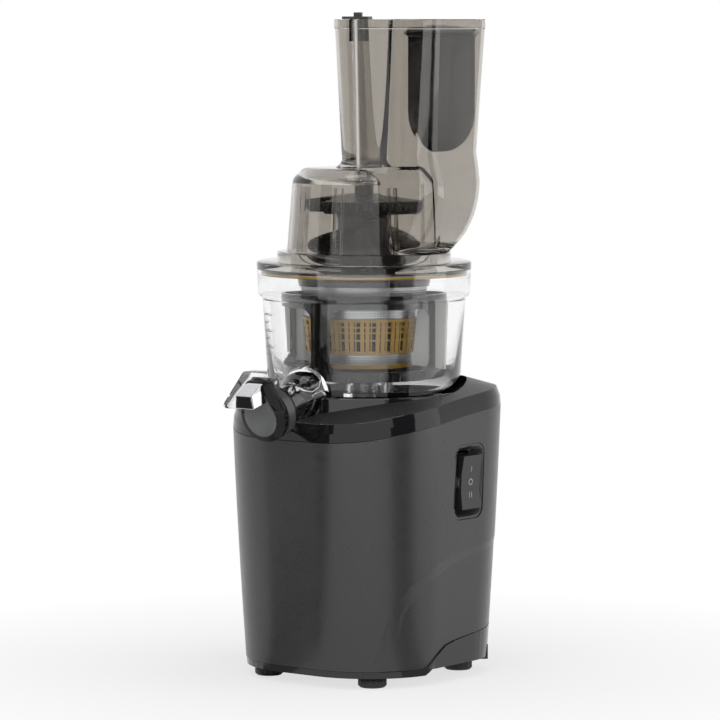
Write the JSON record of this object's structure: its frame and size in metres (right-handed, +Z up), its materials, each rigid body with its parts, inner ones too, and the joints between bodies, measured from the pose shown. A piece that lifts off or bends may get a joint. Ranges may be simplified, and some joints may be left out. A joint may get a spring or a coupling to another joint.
{
  "type": "cold press juicer",
  "caption": "Upright slow juicer: motor base with side rocker switch, clear bowl with strainer, auger and turning wiper, hinged spout cap, smoked lid with wide feed tower.",
  "frame": {"origin": "where the vertical drive axis meets the surface that the feet rest on", "axes": "+Z up along the drive axis; the juice spout and the front point to -Y; the pulp outlet points to -X; the switch is on the +X side"},
  "size_m": [0.2118, 0.2303, 0.4893],
  "materials": {
    "dark_housing": "satin",
    "tray_plastic": "satin",
    "black_gloss": "gloss",
    "black_plastic": "matte",
    "foot_rubber": "matte",
    "seal_rubber": "matte",
    "clear_seal": "satin",
    "clear_plastic": "clear",
    "smoked_plastic": "smoked clear",
    "amber_plastic": "tinted",
    "auger_plastic": "satin",
    "grey_plastic": "satin",
    "face_plastic": "satin",
    "lever_chrome": "polished",
    "white_nylon": "satin",
    "sheet_steel": "brushed",
    "mesh_steel": "perforated",
    "ground_steel": "ground",
    "gear_steel": "sintered",
    "bronze": "sintered",
    "cast_alloy": "cast",
    "iron_core": "laminated and varnished",
    "board": "printed circuit",
    "screw_steel": "zinc plated"
  },
  "bodies": {
    "base": {"housing": "dark_housing", "top_deck": "black_gloss", "base_tray": "tray_plastic", "feet": "foot_rubber", "rear_panel": "black_plastic", "cord_gland": "black_plastic", "switch_bezel": "black_plastic", "switch_module": "black_plastic", "chassis_plate": "sheet_steel", "dampers": "foot_rubber", "motor_stator": "iron_core", "motor_lower_cover": "cast_alloy", "motor_upper_cover": "cast_alloy", "motor_bearings": "ground_steel", "gearbox_housing": "grey_plastic", "gearbox_cover": "grey_plastic", "gear_bushes": "bronze", "output_bearings": "ground_steel", "shaft_seal": "seal_rubber", "control_board": "board", "safety_sensor": "black_plastic", "housing_screws": "screw_steel", "chassis_screws": "screw_steel", "gearbox_screws": "screw_steel"},
    "rocker": {"rocker": "black_gloss"},
    "motor": {"rotor": "ground_steel", "motor_pinion": "gear_steel", "cooling_fan": "black_plastic"},
    "intermediate": {"first_gear": "white_nylon", "second_pinion": "gear_steel"},
    "drive": {"output_gear": "gear_steel", "drive_shaft": "ground_steel"},
    "bowl": {"bowl": "clear_plastic", "bowl_seal": "seal_rubber", "strainer_mesh": "mesh_steel", "strainer_frame": "amber_plastic", "idler_pin": "ground_steel", "spout_collar": "grey_plastic", "spout_gasket": "seal_rubber", "cap_pin": "ground_steel"},
    "auger": {"auger": "auger_plastic", "cutting_disc": "auger_plastic"},
    "idler": {"idler_gear": "white_nylon"},
    "wiper": {"wiper_frame": "clear_plastic", "wiper_blades": "clear_seal"},
    "cap": {"cap_frame": "black_gloss", "cap_face": "face_plastic", "cap_lever": "lever_chrome", "cap_seal": "clear_seal"},
    "lid": {"lid_dome": "smoked_plastic", "feed_tower": "smoked_plastic", "lid_seal": "seal_rubber", "gate_pin": "ground_steel", "latch_bracket": "black_plastic"},
    "gate": {"feed_gate": "smoked_plastic"},
    "latch": {"latch_button": "black_plastic"}
  },
  "joints": [
    {"name": "rocker_tilt", "type": "hinge", "parent": "base", "child": "rocker", "pos_m": [0.08194, 0.013, 0.14722], "axis": [0, 1, 0], "range_deg": [-10, 10]},
    {"name": "drive_spin", "type": "hinge", "parent": "base", "child": "drive", "pos_m": [0, 0, 0.17], "axis": [0, 0, 1], "continuous": true},
    {"name": "intermediate_spin", "type": "hinge", "parent": "base", "child": "intermediate", "pos_m": [-0.03649, 0.03649, 0.137], "axis": [0, 0, 1], "continuous": true},
    {"name": "motor_spin", "type": "hinge", "parent": "base", "child": "motor", "pos_m": [0.00035, 0.02308, 0.074], "axis": [0, 0, 1], "continuous": true},
    {"name": "bowl_lift", "type": "slide", "parent": "base", "child": "bowl", "axis": [0, 0, 1], "range_m": [0, 0.06]},
    {"name": "auger_spin", "type": "hinge", "parent": "bowl", "child": "auger", "pos_m": [0, 0, 0.28], "axis": [0, 0, 1], "continuous": true},
    {"name": "idler_spin", "type": "hinge", "parent": "bowl", "child": "idler", "pos_m": [0, 0.0255, 0.2235], "axis": [0, 0, 1], "continuous": true},
    {"name": "wiper_spin", "type": "hinge", "parent": "bowl", "child": "wiper", "pos_m": [0, 0, 0.25], "axis": [0, 0, 1], "continuous": true},
    {"name": "cap_swing", "type": "hinge", "parent": "bowl", "child": "cap", "pos_m": [0, -0.1177, 0.22461], "axis": [-1, 0, 0], "range_deg": [0, 75]},
    {"name": "lid_lift", "type": "slide", "parent": "bowl", "child": "lid", "axis": [0, 0, 1], "range_m": [0, 0.12]},
    {"name": "gate_swing", "type": "hinge", "parent": "lid", "child": "gate", "pos_m": [0.05, 0.027, 0.4743], "axis": [-1, 0, 0], "range_deg": [0, 38]},
    {"name": "latch_press", "type": "slide", "parent": "lid", "child": "latch", "axis": [0, 0, -1], "range_m": [0, 0.0025], "stiffness_N_per_m": 300, "springref_m": -0.002}
  ],
  "couplings": [
    {"joint": "intermediate_spin", "follows": "drive_spin", "ratio": -4.375},
    {"joint": "motor_spin", "follows": "drive_spin", "ratio": 26.25},
    {"joint": "auger_spin", "follows": "drive_spin", "ratio": 1},
    {"joint": "idler_spin", "follows": "drive_spin", "ratio": -1.4286},
    {"joint": "wiper_spin", "follows": "drive_spin", "ratio": -0.41667}
  ]
}
